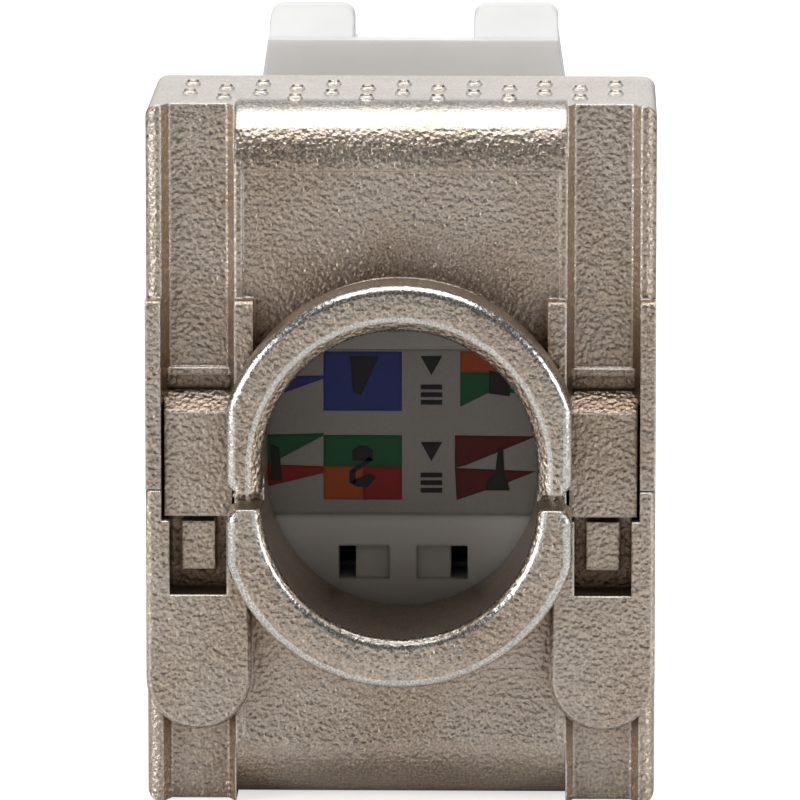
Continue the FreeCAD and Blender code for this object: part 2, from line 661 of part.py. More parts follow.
def make_pin(label, pin_z):
    """A steel hinge pin across the housing."""
    pin = doc.addObject("Part::Cylinder", label)
    pin.Label = label
    half = side - size("pin_end_inset")
    pin.Placement = FreeCAD.Placement(Vector(-half.value, pin_y.value, pin_z.value),
                                      FreeCAD.Rotation(Vector(0, 1, 0), 90))
    pin.setExpression("Radius", size("pin_radius").text)
    pin.setExpression("Height", (half * 2).text)
    for axis, part in zip("xyz", (-half, pin_y, pin_z)):
        pin.setExpression(f"Placement.Base.{axis}", part.text)
    return pin


# Inner pieces -----------------------------------------------------------------------------


def make_box(label, x_half, y_low, y_high, z_low, z_high):
    """A plain block centred on X."""
    block = doc.addObject("Part::Box", label)
    block.Label = label
    for name, value in (("Length", x_half * 2), ("Width", y_high - y_low), ("Height", z_high - z_low),
                        ("Placement.Base.x", -x_half), ("Placement.Base.y", y_low),
                        ("Placement.Base.z", z_low)):
        block.setExpression(name, value.text)
    return block


def make_carrier():
    """The plastic insert round the plug cavity, combed for the eight contacts."""
    body = new_body("contact_carrier")
    gap = size("fit_gap")
    front_y = bay_front - gap
    low, high = size("bay_bottom") + gap, bay_top - gap
    prism(body, "block", "XZ", carrier_rear, front_y,
          lambda sketch: rectangle(sketch, gap - bay_half, bay_half - gap, low, high))
    prism(body, "cavity", "XZ", plug_end, front_y + PAST,
          lambda sketch: plug_outline(sketch, ZERO), cut=True)
    slot_half = size("contact_slot") / 2
    first = -(size("contact_pitch") * (CONTACTS - 1) / 2)
    ceiling = plug_top + size("contact_rise") + size("slot_margin")
    nose = front - size("nose_setback") + size("slot_margin")
    slot_foot = plug_top - OVERLAP
    slot = prism(body, "contact_slot", "YZ", first - slot_half, first + slot_half,
                 lambda sketch: rectangle(sketch, carrier_rear - PAST, nose, slot_foot, ceiling), cut=True)
    pattern = body.newObject("PartDesign::LinearPattern", "contact_slots")
    pattern.Originals = [slot]
    pattern.Direction = (origin_feature(body, "X_Axis"), [""])
    pattern.setExpression("Length", (size("contact_pitch") * (CONTACTS - 1)).text)
    pattern.Occurrences = CONTACTS
    body.Tip = pattern
    doc.recompute()
    spring_low, spring_high = spring_span()
    groove_end, groove_outer = spring_rear - gap, spring_seat + size("spring_play")
    groove = [(plug_half - OVERLAP, groove_end), (groove_outer, groove_end), (groove_outer, front_y + PAST),
              (plug_half - OVERLAP, front_y + PAST)]
    prism(body, "spring_grooves", "XY", spring_low - gap, spring_high + gap,
          lambda sketch: both_sides(sketch, groove), cut=True)
    return body


def spring_span():
    """The shield springs' lowest and highest places."""
    centre = size("plug_bottom") + size("plug_height") / 2
    return centre - size("spring_height") / 2, centre + size("spring_height") / 2


def make_spring(label, sign):
    """A bowed strip that presses on the plug's shield."""
    body = new_body(label)
    low, high = spring_span()
    inner = spring_seat - size("spring_thickness")
    centre = (spring_rear + spring_front) / 2
    bow = size("spring_bow")
    strip = [(inner, spring_rear), (spring_seat, spring_rear), (spring_seat - bow, centre),
             (spring_seat, spring_front), (inner, spring_front), (inner - bow, centre)]
    corners = strip if sign > 0 else [(-x, y) for x, y in reversed(strip)]
    prism(body, "strip", "XY", low, high, lambda sketch: polygon(sketch, corners))
    return body


def make_contact(number):
    """One sprung contact wire: a run along the comb, a nose and a slanting finger."""
    body = new_body(f"jack_contact_{number}")
    wire = size("contact_thickness")
    half = size("contact_width") / 2
    x = size("contact_pitch") * (number - (CONTACTS + 1) / 2)
    start = carrier_rear
    top = plug_top + size("contact_rise")
    nose = front - size("nose_setback")
    tip_y = plug_end + size("finger_margin")
    tip_z = top - size("finger_drop")
    bend = size("finger_bend")
    profile = [(start, top), (nose - wire, top), (nose, top - wire), (tip_y + wire / 2, tip_z - wire),
               (tip_y, tip_z), (nose - bend, top - size("finger_bend_drop")),
               (nose - bend - wire / 2, top - wire), (start, top - wire)]
    prism(body, "wire", "YZ", x - half, x + half, lambda sketch: polygon(sketch, profile))
    return body


def blade_places():
    """The eight wire contacts' places, as X and Z."""
    rows = (middle - size("blade_row"), middle + size("blade_row"))
    columns = (-blade_far, -size("blade_near"), size("blade_near"), blade_far)
    return [(x, z) for z in rows for x in columns]


def blade_tip():
    """The wire contacts' rear end."""
    return board_rear - size("board_seat") - size("blade_length")


def make_blade(number, x, z):
    """One forked insulation-displacement blade."""
    body = new_body(f"idc_contact_{number}")
    half, slit = size("blade_width") / 2, size("blade_fork") / 2
    thick = size("blade_thickness") / 2
    base, tip = board_rear - size("board_seat"), blade_tip()
    root = tip + size("blade_fork_depth")
    point = slit + size("blade_point")
    profile = [(x - half, base), (x + half, base), (x + half, tip + half), (x + point, tip),
               (x + slit, tip + half / 2), (x + slit, root), (x - slit, root), (x - slit, tip + half / 2),
               (x - point, tip), (x - half, tip + half)]
    prism(body, "blade", "XY", z - thick, z + thick, lambda sketch: polygon(sketch, profile))
    return body


def make_idc_block():
    """The plastic block that stands on the board and holds the wire contacts."""
    body = new_body("idc_block")
    tall = size("block_height") / 2
    back = board_rear - size("board_seat")
    prism(body, "block", "XZ", back - size("block_reach"), back,
          lambda sketch: rectangle(sketch, -block_half, block_half, middle - tall, middle + tall))
    gap = size("fit_gap") / 2
    wide, thick = size("blade_width") / 2 + gap, size("blade_thickness") / 2 + gap

    def slots(sketch):
        for x, z in blade_places():
            rectangle(sketch, x - wide, x + wide, z - thick, z + thick)

    prism(body, "blade_slots", "XZ", back - size("block_reach") - PAST, back + PAST, slots, cut=True)
    return body


def make_wire_cap():
    """The wire manager that presses the wires onto the blades."""
    body = new_body("wire_cap")
    tall = size("cap_height") / 2
    gap = size("fit_gap")
    prism(body, "block", "XZ", cap_rear, cap_front,
          lambda sketch: rectangle(sketch, -cap_half, cap_half, middle - tall, middle + tall))
    corners = edge_names(body.Tip, lambda p: near(abs(p.x), cap_half) and near(abs(p.z - middle.value), tall))
    dress(body, "corner_round", "Fillet", corners, size("cap_round"))
    socket_half, socket_tall = block_half + gap, size("block_height") / 2 + gap
    socket_low, socket_high = middle - socket_tall, middle + socket_tall
    block_rear = board_rear - size("board_seat") - size("block_reach")
    prism(body, "socket", "XZ", block_rear - gap, cap_front + PAST,
          lambda sketch: rectangle(sketch, -socket_half, socket_half, socket_low, socket_high), cut=True)
    wide, thick = size("blade_width") / 2 + gap * 2, size("blade_thickness") / 2 + gap * 2

    def blade_pockets(sketch):
        for x, z in blade_places():
            rectangle(sketch, x - wide, x + wide, z - thick, z + thick)

    prism(body, "blade_pockets", "XZ", blade_tip() - gap * 4, cap_front, blade_pockets, cut=True)
    window_inner = size("blade_near") - size("cap_window_width") / 2
    window_outer = size("blade_near") + size("cap_window_width") / 2
    window_low = middle - size("blade_row") - size("cap_window_height") / 2
    window_high = middle - size("blade_row") + size("cap_window_height") / 2
    for name, inner, depth in (("rear_windows", window_inner, cap_rear + size("cap_window_recess")),
                               ("wire_holes", window_outer - size("cap_hole_width"), blade_tip())):
        outline = [(inner, window_low), (window_outer, window_low), (window_outer, window_high),
                   (inner, window_high)]
        prism(body, name, "XZ", cap_rear - PAST, depth, lambda sketch: both_sides(sketch, outline), cut=True)
    slot_half = size("wire_slot") / 2
    top, bottom = middle + tall, middle - tall

    def wire_slots(sketch):
        for x in (size("blade_near") + size("wire_slot_shift"), blade_far):
            for low, high in ((top - size("wire_slot_depth"), top + PAST),
                              (bottom - PAST, bottom + size("wire_slot_depth"))):
                both_sides(sketch, [(x - slot_half, low), (x + slot_half, low), (x + slot_half, high),
                                    (x - slot_half, high)])

    prism(body, "wire_slots", "XZ", cap_rear - PAST, cap_rear + size("wire_slot_reach"), wire_slots, cut=True)
    return body


def make_parts():
    """Builds every piece, in the order it would be put together."""
    gap = size("fit_gap")
    parts = [make_housing(), make_upper_wing(), make_lower_wing(), make_latch()]
    parts += [make_pin("upper_hinge_pin", upper_pin_z), make_pin("lower_hinge_pin", lower_pin_z)]
    parts.append(make_carrier())
    parts += [make_contact(number) for number in range(1, CONTACTS + 1)]
    parts += [make_spring("shield_spring_left", -1), make_spring("shield_spring_right", 1)]
    parts.append(make_box("circuit_board", bay_half - gap * 2, board_rear, board_front,
                          size("bay_bottom") + gap, bay_top - gap))
    parts.append(make_idc_block())
    parts += [make_blade(number, x, z) for number, (x, z) in enumerate(blade_places(), start=1)]
    parts.append(make_wire_cap())
    label_low, label_rear = size("label_bottom"), cap_rear - size("label_thickness")
    parts.append(make_box("wiring_label", size("label_width") / 2, label_rear, cap_rear,
                          label_low, label_low + size("label_height")))
    return parts


parts = make_parts()
doc.recompute()

for item in doc.Objects:
    if any(word in item.State for word in ("Invalid", "Error")):
        raise RuntimeError(f"{item.Name} failed: {item.State}")
for part in parts:
    if part.Shape.isNull() or not part.Shape.isValid():
        raise RuntimeError(f"{part.Label} has no valid shape")

os.makedirs("parts", exist_ok=True)
for part in parts:
    part.Shape.exportStep(f"parts/{part.Label}.step")
    print(part.Label, len(part.Shape.Solids), round(part.Shape.Volume, 3))
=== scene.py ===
import logging
import math
from abc import ABC, abstractmethod
from contextlib import contextmanager
from dataclasses import dataclass, field
from enum import Enum, IntEnum
from functools import cache
from typing import Iterator, Sequence

import bmesh
import bpy
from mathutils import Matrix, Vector


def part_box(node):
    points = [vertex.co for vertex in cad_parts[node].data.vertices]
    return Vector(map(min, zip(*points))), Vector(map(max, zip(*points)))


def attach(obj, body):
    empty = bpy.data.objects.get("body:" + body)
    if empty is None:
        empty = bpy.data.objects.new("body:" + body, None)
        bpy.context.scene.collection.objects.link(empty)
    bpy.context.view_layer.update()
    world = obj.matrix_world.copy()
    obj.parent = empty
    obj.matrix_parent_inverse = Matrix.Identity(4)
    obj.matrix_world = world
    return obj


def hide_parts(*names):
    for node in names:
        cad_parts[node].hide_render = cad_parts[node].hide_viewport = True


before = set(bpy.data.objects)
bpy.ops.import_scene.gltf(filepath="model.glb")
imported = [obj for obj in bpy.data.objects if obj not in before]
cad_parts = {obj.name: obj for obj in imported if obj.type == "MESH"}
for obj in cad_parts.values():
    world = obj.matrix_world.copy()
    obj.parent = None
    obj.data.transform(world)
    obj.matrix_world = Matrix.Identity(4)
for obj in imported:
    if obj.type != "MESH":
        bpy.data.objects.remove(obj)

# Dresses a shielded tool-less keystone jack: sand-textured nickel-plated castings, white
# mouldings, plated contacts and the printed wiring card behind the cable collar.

LOG = logging.getLogger("keystone_jack")
MM = 0.001
Colour = tuple[float, float, float]
Outline = Sequence[tuple[float, float]]


class Body(str, Enum):
    """The bodies of the jack that new pieces ride on."""

    HOUSING = "housing"
    UPPER_WING = "upper_wing"
    LOWER_WING = "lower_wing"


class Ink(Enum):
    """The printing inks of the wiring card."""

    # A grey sheet laid over the white card as painted shade; the card's top strip is left uncovered and
    # lighter.
    SHADE_SHEET = (0.50, 0.49, 0.47)
    BLUE = (0.045, 0.075, 0.34)
    GREEN = (0.02, 0.17, 0.065)
    ORANGE = (0.62, 0.12, 0.02)
    RED = (0.42, 0.025, 0.012)
    MAROON = (0.16, 0.02, 0.018)
    BLACK = (0.035, 0.035, 0.035)


class Layer(IntEnum):
    """The layers of ink on the wiring card, counted up from its face."""

    # The first layer is the painted shade sheet.
    SHADE_SHEET = 1
    FIELD = 2
    MARK = 3


class Skin(IntEnum):
    """The material slots of a casting."""

    CAST = 0
    RUBBED_SHEEN = 1
    # The top faces, painted lighter as lit.
    SMOOTH = 2


class Chain(Enum):
    """The chains of edges on the collar's face."""

    BORDER = "border"
    MOUTH = "mouth"


class SocketKind(str, Enum):
    """The kinds of output that a shared group has."""

    NUMBER = "NodeSocketFloat"
    VECTOR = "NodeSocketVector"


def linear(colour: Colour, share: float = 1.0) -> tuple[float, float, float, float]:
    """Returns a share of a colour, with full alpha, as a socket takes it."""
    return (*(channel * share for channel in colour), 1.0)


@contextmanager
def edit_mode() -> Iterator[None]:
    """Opens edit mode on the active piece and closes it again."""
    bpy.ops.object.mode_set(mode="EDIT")
    yield
    bpy.ops.object.mode_set(mode="OBJECT")


class Graph:
    """A node tree with short calls for adding and joining nodes.

    Attributes:
        tree: The shader or group tree that the nodes go into.
    """

    # The Mix node's colour sockets, whose names its number sockets share.
    MIX_FACTOR, MIX_FIRST, MIX_SECOND, MIX_RESULT = 0, 6, 7, 2

    def __init__(self, tree: bpy.types.NodeTree) -> None:
        """Wraps a node tree."""
        self.tree = tree

    def add(self, kind: str, **values: object) -> bpy.types.Node:
        """Adds a node.

        Args:
            kind: The node's class name without its ShaderNode prefix.
            values: Properties to set on the node.

        Returns:
            The new node.
        """
        node = self.tree.nodes.new(f"ShaderNode{kind}")
        for name, value in values.items():
            setattr(node, name, value)
        return node

    def feed(self, socket: bpy.types.NodeSocket, value: object) -> None:
        """Gives a socket a link or a plain value."""
        if isinstance(value, bpy.types.NodeSocket):
            self.tree.links.new(value, socket)
        else:
            socket.default_value = value

    def fill(self, node: bpy.types.Node, **values: object) -> bpy.types.Node:
        """Feeds a node's inputs by name.

        Args:
            node: The node.
            values: A socket or a plain value for each input, with _ for a space in its name.

        Returns:
            The node.
        """
        for name, value in values.items():
            self.feed(node.inputs[name.replace("_", " ")], value)
        return node

    def place(self, group: bpy.types.NodeTree, **values: object) -> bpy.types.Node:
        """Places a shared group.

        Args:
            group: The group.
            values: A socket or a plain value for each input, with _ for a space in its name.

        Returns:
            The group's node.
        """
        return self.fill(self.add("Group", node_tree=group), **values)

    def maths(self, operation: str, first: object, second: object,
              clamp: bool = False) -> bpy.types.NodeSocket:
        """Adds a Math node.

        Args:
            operation: The node's operation.
            first: A socket or a number.
            second: A socket or a number.
            clamp: Whether the result is held between 0 and 1.

        Returns:
            The node's output.
        """
        node = self.add("Math", operation=operation, use_clamp=clamp)
        self.feed(node.inputs[0], first)
        self.feed(node.inputs[1], second)
        return node.outputs[0]

    def grow(self, start: float, source: bpy.types.NodeSocket, slope: float) -> bpy.types.NodeSocket:
        """Lets a value grow evenly with another.

        Args:
            start: The result where the source is 0.
            source: The value.
            slope: How much is added where the source is 1.

        Returns:
            The result.
        """
        return self.maths("ADD", start, self.maths("MULTIPLY", source, slope))

    def ramp(self, source: bpy.types.NodeSocket, low: float, high: float) -> bpy.types.NodeSocket:
        """Spreads a value's range from low to high over 0 to 1.

        Args:
            source: The value.
            low: What becomes 0.
            high: What becomes 1.

        Returns:
            The clamped result.
        """
        node = self.add("MapRange", clamp=True)
        return self.fill(node, Value=source, From_Min=low, From_Max=high).outputs["Result"]

    def blend(self, factor: bpy.types.NodeSocket, first: object, second: object) -> bpy.types.NodeSocket:
        """Mixes two colours.

        Args:
            factor: How much of the second colour shows.
            first: A colour or socket.
            second: A colour or socket.

        Returns:
            The mixed colour.
        """
        node = self.add("Mix", data_type="RGBA")
        self.feed(node.inputs[self.MIX_FACTOR], factor)
        self.feed(node.inputs[self.MIX_FIRST], first)
        self.feed(node.inputs[self.MIX_SECOND], second)
        return node.outputs[self.MIX_RESULT]

    def bump(self, height: bpy.types.NodeSocket, under: bpy.types.NodeSocket, high_mm: float,
             strength: float) -> bpy.types.NodeSocket:
        """Raises a face by a height.

        Args:
            height: The height, from 0 to 1.
            under: The normal that the bump stands on.
            high_mm: How high a height of 1 is.
            strength: How much of the bump shows.

        Returns:
            The bumped normal.
        """
        node = self.fill(self.add("Bump"), Height=height, Normal=under, Distance=high_mm * MM,
                         Strength=strength)
        return node.outputs["Normal"]

    def seen(self) -> bpy.types.NodeSocket:
        """Returns 1 for what the camera sees, straight or through glass, and 0 otherwise."""
        path = self.add("LightPath")
        return self.maths("MAXIMUM", path.outputs["Is Camera Ray"], path.outputs["Is Transmission Ray"])


class SharedGroup(Graph):
    """The tree of a shader group that several finishes share.

    Attributes:
        source: The node that holds the group's inputs.
        sink: The node that holds its outputs.
    """

    def __init__(self, name: str, inputs: dict[str, float], outputs: dict[str, SocketKind]) -> None:
        """Makes an empty group with its sockets.

        Args:
            name: The group's name.
            inputs: The defaults of its number inputs, by name.
            outputs: The kinds of its outputs, by name.
        """
        super().__init__(bpy.data.node_groups.new(name, "ShaderNodeTree"))
        sockets = self.tree.interface
        for title, value in inputs.items():
            socket = sockets.new_socket(title, in_out="INPUT", socket_type=SocketKind.NUMBER.value)
            socket.default_value = value
        for title, kind in outputs.items():
            sockets.new_socket(title, in_out="OUTPUT", socket_type=kind.value)
        self.source = self.tree.nodes.new("NodeGroupInput")
        self.sink = self.tree.nodes.new("NodeGroupOutput")

    def metres(self, name: str) -> bpy.types.NodeSocket:
        """Returns an input that is given in millimetres, in metres."""
        return self.maths("MULTIPLY", self.source.outputs[name], MM)


class Effects:
    """The shader groups that several finishes share, each built once.

    Attributes:
        PIT_FINENESS: How fine the pits are, as a share of the coarse grain's fineness.
        FLECK_FINENESS: How fine the flecks are, in the same way.
        DRIFT_PER_MM: How fine the slow change over a face is, in swells a millimetre.
        COARSE_SHARE: How much the coarse grain adds to the height.
        PIT_SHARE: How much the pits add to it.
        FLECK_SPAN: The range of the noise that becomes a fleck.
        EDGE_SPAN: How alike the softened and the true normal are off an edge and on it.
        SAMPLES: How many rays feel for an edge or a wall.
    """

    PIT_FINENESS = 0.8
    FLECK_FINENESS = 1.7
    DRIFT_PER_MM = 0.35
    COARSE_SHARE = 0.65
    PIT_SHARE = 0.5
    FLECK_SPAN = (0.35, 0.72)
    EDGE_SPAN = (0.98, 0.84)
    SAMPLES = 4

    @classmethod
    @cache
    def cast_grain(cls) -> bpy.types.NodeTree:
        """Returns the blasted grain of a die-cast face: its height, its flecks and its drift."""
        number = SocketKind.NUMBER
        graph = SharedGroup("cast_grain", {"Grain Size mm": 0.12},
                            {"Height": number, "Fleck": number, "Drift": number})
        where = graph.add("TexCoord").outputs["Object"]
        fine = graph.maths("DIVIDE", 1.0 / MM, graph.source.outputs["Grain Size mm"])
        coarse = graph.fill(graph.add("TexNoise"), Vector=where, Scale=fine, Detail=2.0, Roughness=0.55)
        pits = graph.fill(graph.add("TexVoronoi", feature="SMOOTH_F1"), Vector=where, Smoothness=0.6,
                          Scale=graph.maths("MULTIPLY", fine, cls.PIT_FINENESS))
        height = graph.maths("ADD", graph.maths("MULTIPLY", coarse.outputs["Fac"], cls.COARSE_SHARE),
                             graph.maths("MULTIPLY", pits.outputs["Distance"], cls.PIT_SHARE))
        flecks = graph.fill(graph.add("TexNoise"), Vector=where, Detail=1.0,
                            Scale=graph.maths("MULTIPLY", fine, cls.FLECK_FINENESS))
        drift = graph.fill(graph.add("TexNoise"), Vector=where, Detail=3.0, Scale=cls.DRIFT_PER_MM / MM)
        graph.fill(graph.sink, Height=height, Fleck=graph.ramp(flecks.outputs["Fac"], *cls.FLECK_SPAN),
                   Drift=drift.outputs["Fac"])
        return graph.tree

    @classmethod
    @cache
    def edge_wear_and_sheen(cls) -> bpy.types.NodeTree:
        """Returns the rubbed edge of a piece: a mask along its edges, for wear and for painted edge
        highlights, and a softened normal.
        """
        graph = SharedGroup("edge_wear_and_sheen", {"Reach mm": 0.12},
                            {"Edge": SocketKind.NUMBER, "Normal": SocketKind.VECTOR})
        bevel = graph.fill(graph.add("Bevel", samples=cls.SAMPLES), Radius=graph.metres("Reach mm"))
        facing = graph.add("VectorMath", operation="DOT_PRODUCT")
        graph.feed(facing.inputs[0], bevel.outputs["Normal"])
        graph.feed(facing.inputs[1], graph.add("NewGeometry").outputs["Normal"])
        graph.fill(graph.sink, Edge=graph.ramp(facing.outputs["Value"], *cls.EDGE_SPAN),
                   Normal=bevel.outputs["Normal"])
        return graph.tree

    @classmethod
    @cache
    def hollow(cls, alone: bool) -> bpy.types.NodeTree:
        """Returns how open a place is, 0 deep in a hollow and 1 on an open face; the finishes paint shade
        from it.

        Args:
            alone: Whether only the piece's own faces shut a place in.

        Returns:
            The group.
        """
        graph = SharedGroup("hollow_alone" if alone else "hollow",
                            {"Reach mm": 2.5, "Shut": 0.15, "Open": 0.75},
                            {"Openness": SocketKind.NUMBER})
        shade = graph.fill(graph.add("AmbientOcclusion", samples=cls.SAMPLES, only_local=alone),
                           Distance=graph.metres("Reach mm"))
        above = graph.maths("SUBTRACT", shade.outputs["AO"], graph.source.outputs["Shut"])
        span = graph.maths("SUBTRACT", graph.source.outputs["Open"], graph.source.outputs["Shut"])
        graph.fill(graph.sink, Openness=graph.maths("DIVIDE", above, span, clamp=True))
        return graph.tree


class Finish(ABC):
    """A surface finish that builds one material.

    Attributes:
        title: The material's name.
    """

    title: str

    @abstractmethod
    def _nodes(self, graph: Graph, shader: bpy.types.Node) -> None:
        """Builds the finish's nodes.

        Args:
            graph: The material's graph.
            shader: The Principled shader that they feed.
        """

    def material(self) -> bpy.types.Material:
        """Returns the finish's material, made once."""
        known = bpy.data.materials.get(self.title)
        if known:
            return known
        material = bpy.data.materials.new(self.title)
        material.use_nodes = True
        self._nodes(Graph(material.node_tree), material.node_tree.nodes["Principled BSDF"])
        return material


@dataclass(frozen=True)
class CastNickel(Finish):
    """Nickel-plated die-cast zinc with a blasted grain, rubbed edges painted brighter (partly wear, partly a
    painted highlight) and painted shade in hollows.

    Attributes:
        title: The material's name.
        colour: The plating's colour on a face.
        bright: The plating's colour where it is rubbed, which is also a painted highlight on edges.
        painted_shade: The share of each colour channel that is left deep in a hollow, as painted shade.
        fleck: The share of the colour that is left between the flecks.
        grain_mm: The size of the grain.
        high_mm: How high the grain stands at full depth.
        depth: How deep the grain is, as a share of that.
        drift: How far the drift takes a face towards the bright colour.
        drift_span: The range of the drift's noise that counts.
        roughness: The face's mean roughness.
        least: How much less rough a face is between its flecks.
        rough_fleck: How much roughness a fleck adds.
        edge_mm: How far a rubbed edge reaches.
        rub: How bright and how flat a rubbed edge is; the brightness is partly a painted highlight.
        polish: How much roughness a rubbed edge loses.
        hollow_mm: How near a wall shuts a place in.
        shut: How much of the sky a place sees where the painted shade is deepest.
        clear: How much of the sky it sees where there is no painted shade.
    """

    title: str = "cast_nickel"
    colour: Colour = (0.69, 0.56, 0.44)
    bright: Colour = (0.95, 0.93, 0.89)
    painted_shade: Colour = (0.30, 0.25, 0.21)
    fleck: float = 0.5
    grain_mm: float = 0.13
    high_mm: float = 0.07
    depth: float = 0.95
    drift: float = 0.18
    drift_span: tuple[float, float] = (0.3, 0.7)
    roughness: float = 0.37
    least: float = 0.08
    rough_fleck: float = 0.14
    edge_mm: float = 0.13
    rub: float = 0.7
    polish: float = 0.14
    hollow_mm: float = 3.0
    shut: float = 0.15
    clear: float = 0.6

    def _nodes(self, graph: Graph, shader: bpy.types.Node) -> None:
        """Joins the tone, the roughness and the relief to the shader."""
        grain = graph.place(Effects.cast_grain(), Grain_Size_mm=self.grain_mm)
        edge = graph.place(Effects.edge_wear_and_sheen(), Reach_mm=self.edge_mm)
        rubbed_sheen = graph.maths("MULTIPLY", edge.outputs["Edge"], self.rub)
        rough = graph.grow(self.roughness - self.least, grain.outputs["Fleck"], self.rough_fleck)
        polish = graph.maths("MULTIPLY", edge.outputs["Edge"], self.polish)
        height = graph.maths("MULTIPLY", grain.outputs["Height"], graph.maths("SUBTRACT", 1.0, rubbed_sheen))
        graph.fill(shader, Metallic=1.0, Base_Color=self._tone(graph, grain, rubbed_sheen),
                   Roughness=graph.maths("SUBTRACT", rough, polish),
                   Normal=graph.bump(height, edge.outputs["Normal"], self.high_mm, self.depth))

    def _tone(self, graph: Graph, grain: bpy.types.Node,
              rubbed_sheen: bpy.types.NodeSocket) -> bpy.types.NodeSocket:
        """Mixes the plating's colour.

        Args:
            graph: The material's graph.
            grain: The grain's node.
            rubbed_sheen: How far a place is rubbed bright, partly as wear and partly as a painted highlight.

        Returns:
            The colour, flecked and drifting, painted brighter on edges as wear and highlight, and painted
            darker in hollows as shade.
        """
        flecked = graph.blend(grain.outputs["Fleck"], linear(self.colour, self.fleck), linear(self.colour))
        drift = graph.maths("MULTIPLY", graph.ramp(grain.outputs["Drift"], *self.drift_span), self.drift)
        tinted = graph.blend(drift, flecked, linear(self.bright))
        # Partly painted highlight: rubbed edges are mixed towards the bright colour, as wear and as a
        # highlight.
        unshaded = graph.blend(rubbed_sheen, tinted, linear(self.bright))
        # Painted shade: ambient occlusion darkens the colour in hollows and crevices, where shade falls.
        hollow = graph.place(Effects.hollow(True), Reach_mm=self.hollow_mm, Shut=self.shut,
                             Open=self.clear)
        painted_shade_colour = tuple(channel * share for channel, share in zip(self.colour, self.painted_shade))
        return graph.blend(hollow.outputs["Openness"], linear(painted_shade_colour), unshaded)


@dataclass(frozen=True)
class TurnedMetal(Finish):
    """Plain bright metal with a fine drawn grain, for pins, springs, bumps and contacts.

    Attributes:
        title: The material's name.
        colour: The metal's colour.
        roughness: Its least roughness.
        fleck: The share of the colour that is left between the flecks.
        grain_mm: The size of the grain.
        drift: How much roughness the drift adds.
    """

    title: str
    colour: Colour
    roughness: float = 0.25
    fleck: float = 0.8
    grain_mm: float = 0.06
    drift: float = 0.12

    def _nodes(self, graph: Graph, shader: bpy.types.Node) -> None:
        """Builds the drawn grain and a slight change of roughness."""
        grain = graph.place(Effects.cast_grain(), Grain_Size_mm=self.grain_mm)
        tone = graph.blend(grain.outputs["Fleck"], linear(self.colour, self.fleck), linear(self.colour))
        graph.fill(shader, Metallic=1.0, Base_Color=tone,
                   Roughness=graph.grow(self.roughness, grain.outputs["Drift"], self.drift))


@dataclass(frozen=True)
class Moulding(Finish):
    """Moulded plastic, printed card or ink with a faint orange peel, softened edges and painted shade where
    it lies shut in.

    Attributes:
        title: The material's name.
        colour: The plastic's colour.
        roughness: Its mean roughness.
        glow: How much light it passes, as subsurface weight.
        shut: The share of its colour that is left as painted shade where it lies shut in.
        drift: The share of its colour that is left where the drift is darkest.
        drift_span: The range of the drift's noise that counts.
        least: How much less rough a face is between its flecks.
        rough_fleck: How much roughness a fleck adds.
        peel_mm: The size of the orange peel.
        high_mm: How high the peel stands at full depth.
        depth: How deep the peel is, as a share of that.
        edge_mm: How far an edge is softened.
        hollow_mm: How near a wall shuts a place in.
        hollow_span: How much of the sky a place sees when it is shut in and when it is open.
        dull: The gloss of a piece that lies shut in.
        glow_mm: How far light runs under the face.
        glow_reach: How far each colour of that light runs, as a share.
    """

    title: str
    colour: Colour
    roughness: float = 0.42
    glow: float = 0.0
    shut: float = 1.0
    drift: float = 0.93
    drift_span: tuple[float, float] = (0.3, 0.7)
    least: float = 0.03
    rough_fleck: float = 0.06
    peel_mm: float = 0.25
    high_mm: float = 0.01
    depth: float = 0.25
    edge_mm: float = 0.15
    hollow_mm: float = 14.0
    hollow_span: tuple[float, float] = (0.25, 0.6)
    dull: float = 0.2
    glow_mm: float = 1.2
    glow_reach: Colour = (1.0, 0.95, 0.85)

    def _nodes(self, graph: Graph, shader: bpy.types.Node) -> None:
        """Builds the orange peel, the drift of tone, the soft edges and, for pieces shut in, painted shade.
        """
        grain = graph.place(Effects.cast_grain(), Grain_Size_mm=self.peel_mm)
        edge = graph.place(Effects.edge_wear_and_sheen(), Reach_mm=self.edge_mm)
        tone = graph.blend(graph.ramp(grain.outputs["Drift"], *self.drift_span),
                           linear(self.colour, self.drift), linear(self.colour))
        # Painted shade: pieces that lie shut in are darkened by ambient occlusion.
        if self.shut < 1.0:
            low, high = self.hollow_span
            hollow = graph.place(Effects.hollow(False), Reach_mm=self.hollow_mm, Shut=low, Open=high)
            tone = graph.blend(hollow.outputs["Openness"], linear(self.colour, self.shut), tone)
            graph.fill(shader, Specular_IOR_Level=self.dull)
        graph.fill(shader, Base_Color=tone,
                   Roughness=graph.grow(self.roughness - self.least, grain.outputs["Fleck"],
                                        self.rough_fleck),
                   Normal=graph.bump(grain.outputs["Height"], edge.outputs["Normal"], self.high_mm,
                                     self.depth))
        if self.glow:
            graph.fill(shader, Subsurface_Weight=self.glow, Subsurface_Radius=self.glow_reach,
                       Subsurface_Scale=self.glow_mm * MM)


CAST = CastNickel()
# Nickel for the collar's rounds: smoother like polished wear, and painted paler as a highlight.
RUBBED_SHEEN = CastNickel("rubbed_sheen_nickel", colour=(0.88, 0.84, 0.78), depth=0.25, roughness=0.26)
# Top-face nickel: less grain, and painted paler because the top catches the light.
SMOOTH = CastNickel("smooth_lit_nickel", colour=(0.78, 0.71, 0.63), depth=0.2, roughness=0.42)
# Grip bump nickel, painted pale as a highlight on the domes.
BUMP_HIGHLIGHT = TurnedMetal("bump_highlight_nickel", (0.96, 0.93, 0.87), 0.5)
PIN_STEEL = TurnedMetal("turned_steel", (0.66, 0.65, 0.63), 0.22)
SPRING_STEEL = TurnedMetal("spring_steel", (0.72, 0.71, 0.69), 0.18)
GOLD = TurnedMetal("gold_plate", (0.93, 0.66, 0.27), 0.16)
TIN = TurnedMetal("tin_plate", (0.62, 0.60, 0.57), 0.3)
